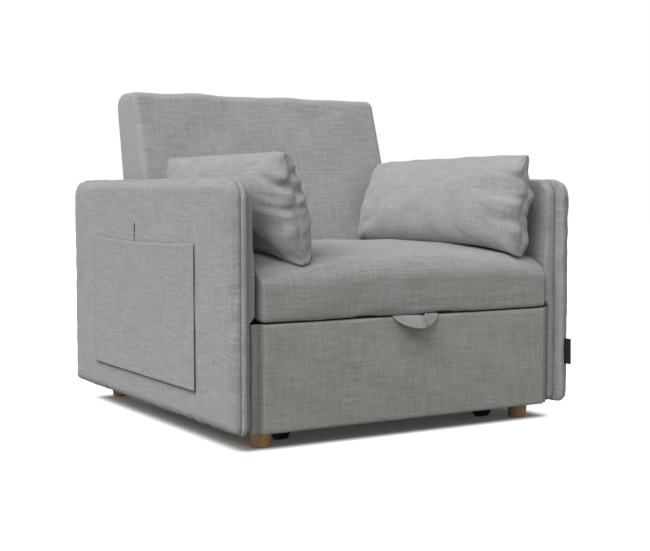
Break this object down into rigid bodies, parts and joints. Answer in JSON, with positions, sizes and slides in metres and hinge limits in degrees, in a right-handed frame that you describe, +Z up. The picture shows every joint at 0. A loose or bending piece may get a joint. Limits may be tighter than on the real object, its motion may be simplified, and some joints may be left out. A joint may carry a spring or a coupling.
{
  "type": "convertible chair bed",
  "caption": "Upholstered armchair that opens into a bed: a drawer with a hidden cushion slides out, the backrest reclines flat, loose pillows lift off.",
  "frame": {"origin": "on the floor, midway between the arms and midway from front to rear", "axes": "+X to the right seen from the front, +Y to the rear, +Z up"},
  "size_m": [0.9866, 1.0123, 0.842],
  "materials": {
    "upholstery": "slubby grey linen weave",
    "bed_cloth": "slubby grey linen weave",
    "tab_cloth": "black woven tape",
    "foot_wood": "oiled oak",
    "frame_timber": "planed pine",
    "plywood": "birch plywood",
    "slat_wood": "laminated beech",
    "bright_steel": "zinc plated",
    "black_steel": "black powder coat",
    "wheel_plastic": "black nylon"
  },
  "bodies": {
    "base": {"left_arm_core": "plywood", "left_arm_band": "upholstery", "left_arm_outer_pad": "upholstery", "left_arm_inner_pad": "upholstery", "right_arm_core": "plywood", "right_arm_band": "upholstery", "right_arm_outer_pad": "upholstery", "right_arm_inner_pad": "upholstery", "side_pocket": "upholstery", "small_pocket": "upholstery", "side_tab": "tab_cloth", "seat_cushion": "upholstery", "left_base_rail": "frame_timber", "right_base_rail": "frame_timber", "left_slat_ledger": "frame_timber", "right_slat_ledger": "frame_timber", "front_cross_rail": "frame_timber", "rear_cross_rail": "frame_timber", "seat_slats": "slat_wood", "front_left_foot": "foot_wood", "front_right_foot": "foot_wood", "rear_left_foot": "foot_wood", "rear_right_foot": "foot_wood", "arm_bolts": "bright_steel", "left_runner_channel": "bright_steel", "right_runner_channel": "bright_steel", "left_hinge_plate": "black_steel", "right_hinge_plate": "black_steel", "hinge_pins": "bright_steel", "pawl_pins": "bright_steel"},
    "drawer": {"drawer_front_cover": "upholstery", "drawer_front_board": "plywood", "drawer_left_side": "plywood", "drawer_right_side": "plywood", "drawer_base": "plywood", "drawer_rear": "plywood", "left_runner_bar": "bright_steel", "right_runner_bar": "bright_steel", "wheel_axles": "bright_steel", "left_wheel_fork": "black_steel", "right_wheel_fork": "black_steel", "bed_board": "plywood", "bed_cushion": "bed_cloth", "lift_links": "black_steel", "lift_pins": "bright_steel", "lift_rails": "black_steel", "pull_loop": "upholstery"},
    "left_wheel": {"left_wheel": "wheel_plastic"},
    "right_wheel": {"right_wheel": "wheel_plastic"},
    "backrest": {"backrest_pad": "upholstery", "backrest_board": "plywood", "backrest_rear_panel": "upholstery", "left_hinge_arm": "black_steel", "right_hinge_arm": "black_steel"},
    "left_pawl": {"left_pawl": "black_steel"},
    "right_pawl": {"right_pawl": "black_steel"},
    "left_pillow": {"left_pillow": "upholstery"},
    "right_pillow": {"right_pillow": "upholstery"}
  },
  "joints": [
    {"name": "drawer_slide", "type": "slide", "parent": "base", "child": "drawer", "axis": [0, -1, 0], "range_m": [0, 0.56]},
    {"name": "left_wheel_roll", "type": "hinge", "parent": "drawer", "child": "left_wheel", "pos_m": [-0.294, -0.357, 0.024], "axis": [1, 0, 0], "continuous": true},
    {"name": "right_wheel_roll", "type": "hinge", "parent": "drawer", "child": "right_wheel", "pos_m": [0.294, -0.357, 0.024], "axis": [1, 0, 0], "continuous": true},
    {"name": "backrest_recline", "type": "hinge", "parent": "base", "child": "backrest", "pos_m": [0, 0.245, 0.3], "axis": [-1, 0, 0], "range_deg": [0, 72]},
    {"name": "left_pawl_swing", "type": "hinge", "parent": "base", "child": "left_pawl", "pos_m": [-0.386, 0.275, 0.238], "axis": [-1, 0, 0], "range_deg": [0, 7]},
    {"name": "right_pawl_swing", "type": "hinge", "parent": "base", "child": "right_pawl", "pos_m": [0.386, 0.275, 0.238], "axis": [-1, 0, 0], "range_deg": [0, 7]},
    {"name": "left_pillow_lift", "type": "slide", "parent": "base", "child": "left_pillow", "axis": [0, 0, 1], "range_m": [0, 0.35]},
    {"name": "right_pillow_lift", "type": "slide", "parent": "base", "child": "right_pillow", "axis": [0, 0, 1], "range_m": [0, 0.35]}
  ],
  "couplings": [
    {"joint": "right_pawl_swing", "follows": "left_pawl_swing", "ratio": 1}
  ]
}
